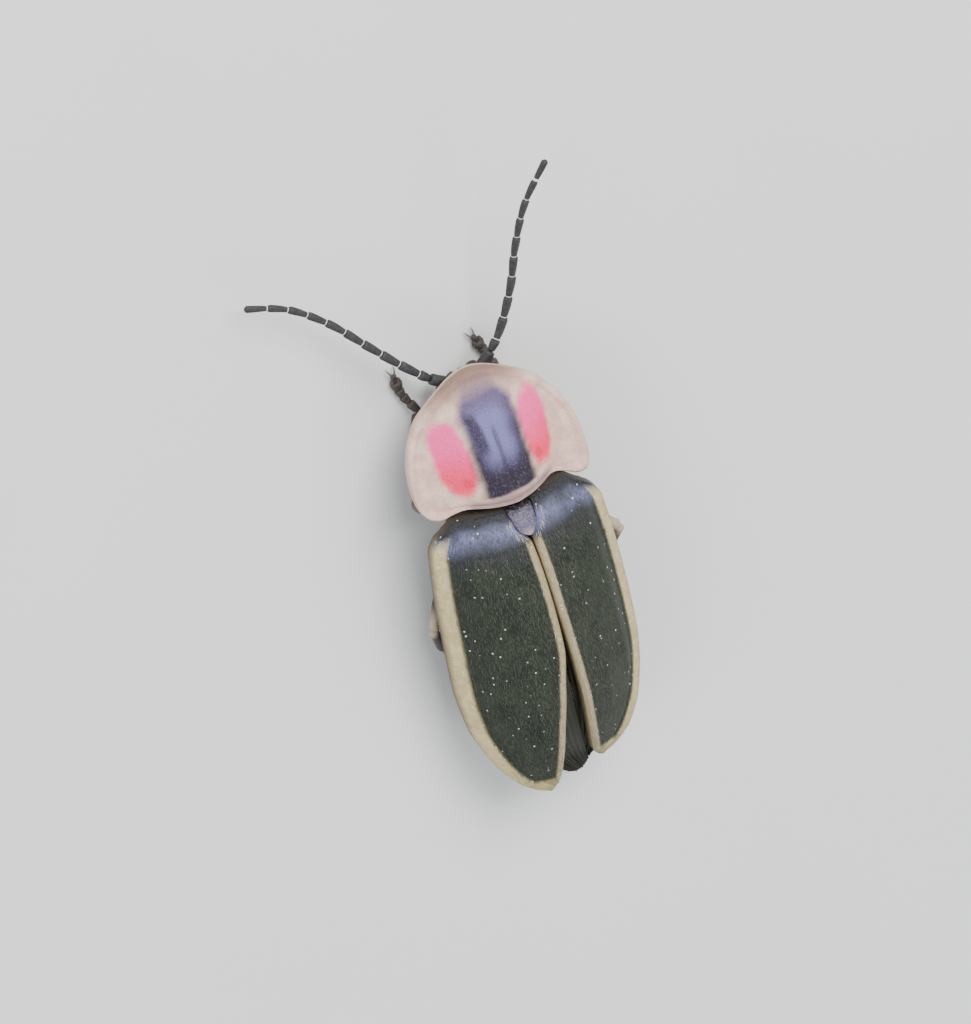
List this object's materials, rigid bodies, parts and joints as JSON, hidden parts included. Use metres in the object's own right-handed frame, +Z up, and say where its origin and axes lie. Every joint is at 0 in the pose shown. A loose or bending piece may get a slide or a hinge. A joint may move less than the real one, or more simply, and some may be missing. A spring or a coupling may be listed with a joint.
{
  "type": "firefly",
  "caption": "Life-size standing firefly: a soft flat beetle with a rounded neck shield over its head, long pale-edged wing cases slightly parted at the tail, and two raised feelers.",
  "frame": {"origin": "middle of the bounding box at floor level, under the animal", "axes": "-Y towards the head, +X towards the animal's own left side, +Z up from the floor"},
  "size_m": [0.0096, 0.0204, 0.0041],
  "materials": {
    "shield": "pale pinkish tan, satin",
    "wing_case": "dark charcoal, finely rough, with pale brims",
    "scutellum": "greyish violet, matt",
    "wing": "blackish olive-brown membrane, satin",
    "shell": "dark brown, satin",
    "belly": "blackish brown, satin",
    "lantern": "pale cream, satin",
    "eye": "black, glossy",
    "leg": "dark grey-brown, matt",
    "hip": "pale brown, matt",
    "feeler": "dark grey, matt"
  },
  "bodies": {
    "root": {"abdomen": "belly", "eye_left": "eye", "eye_right": "eye", "feeler_left_middle": "feeler", "feeler_left_root": "feeler", "feeler_left_tip": "feeler", "feeler_right_middle": "feeler", "feeler_right_root": "feeler", "feeler_right_tip": "feeler", "folded_wing_left": "wing", "folded_wing_right": "wing", "fore_body": "shell", "head": "shell", "jaw_left": "shell", "jaw_right": "shell", "lantern": "lantern", "leg_front_left_foot": "leg", "leg_front_left_hip": "hip", "leg_front_left_shin": "leg", "leg_front_left_thigh": "leg", "leg_front_right_foot": "leg", "leg_front_right_hip": "hip", "leg_front_right_shin": "leg", "leg_front_right_thigh": "leg", "leg_hind_left_foot": "leg", "leg_hind_left_hip": "hip", "leg_hind_left_shin": "leg", "leg_hind_left_thigh": "leg", "leg_hind_right_foot": "leg", "leg_hind_right_hip": "hip", "leg_hind_right_shin": "leg", "leg_hind_right_thigh": "leg", "leg_middle_left_foot": "leg", "leg_middle_left_hip": "hip", "leg_middle_left_shin": "leg", "leg_middle_left_thigh": "leg", "leg_middle_right_foot": "leg", "leg_middle_right_hip": "hip", "leg_middle_right_shin": "leg", "leg_middle_right_thigh": "leg", "neck": "hip", "neck_shield": "shield", "palp_left": "leg", "palp_right": "leg", "scutellum": "scutellum", "tail_tip": "belly", "thorax": "shell", "wing_case_left": "wing_case", "wing_case_right": "wing_case"}
  },
  "joints": []
}
